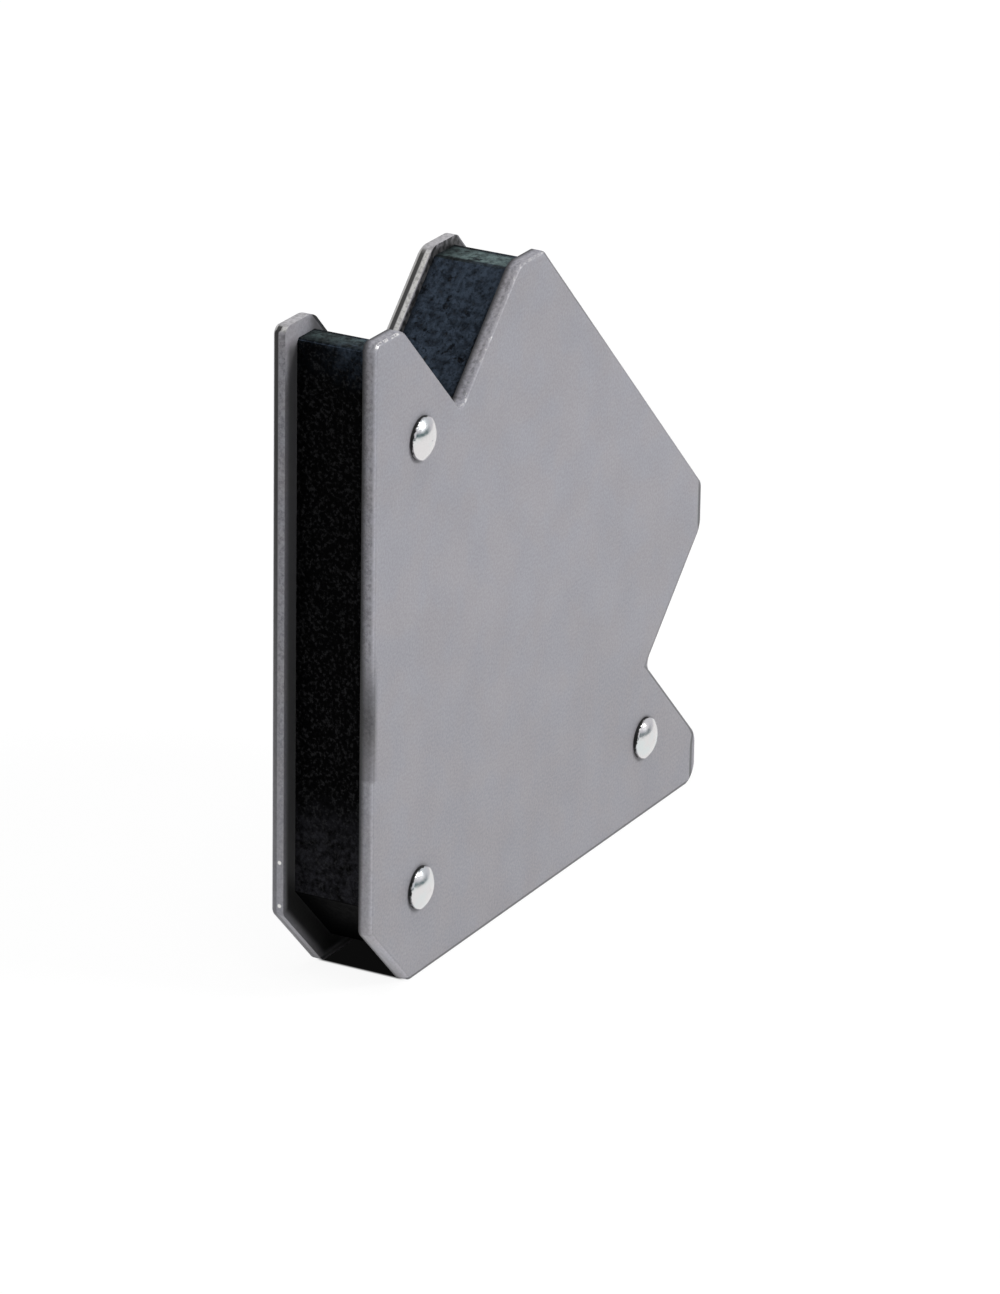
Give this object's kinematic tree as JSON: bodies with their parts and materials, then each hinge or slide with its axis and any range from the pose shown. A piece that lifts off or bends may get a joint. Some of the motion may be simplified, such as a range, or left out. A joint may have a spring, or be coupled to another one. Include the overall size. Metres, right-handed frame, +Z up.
{
  "type": "magnetic welding square",
  "caption": "Arrow-shaped magnetic welding square: steel plates riveted over a black spacer with ferrite blocks, to hold work at right and half-right angles.",
  "frame": {"origin": "middle of the lower leg, at mid thickness, on the surface that the part stands on", "axes": "+X along the lower leg away from the cleared corner, +Z up the other leg, +Y through the thickness from the front plate to the back plate"},
  "size_m": [0.076, 0.0154, 0.076],
  "materials": {
    "plate_paint": "matte grey",
    "spacer_black": "moulded, matte",
    "ferrite": "sintered, matte",
    "rivet_zinc": "bright zinc"
  },
  "bodies": {
    "root": {"front_plate": "plate_paint", "back_plate": "plate_paint", "spacer_frame": "spacer_black", "tip_magnet": "ferrite", "stem_magnet": "ferrite", "rivets": "rivet_zinc"}
  },
  "joints": []
}
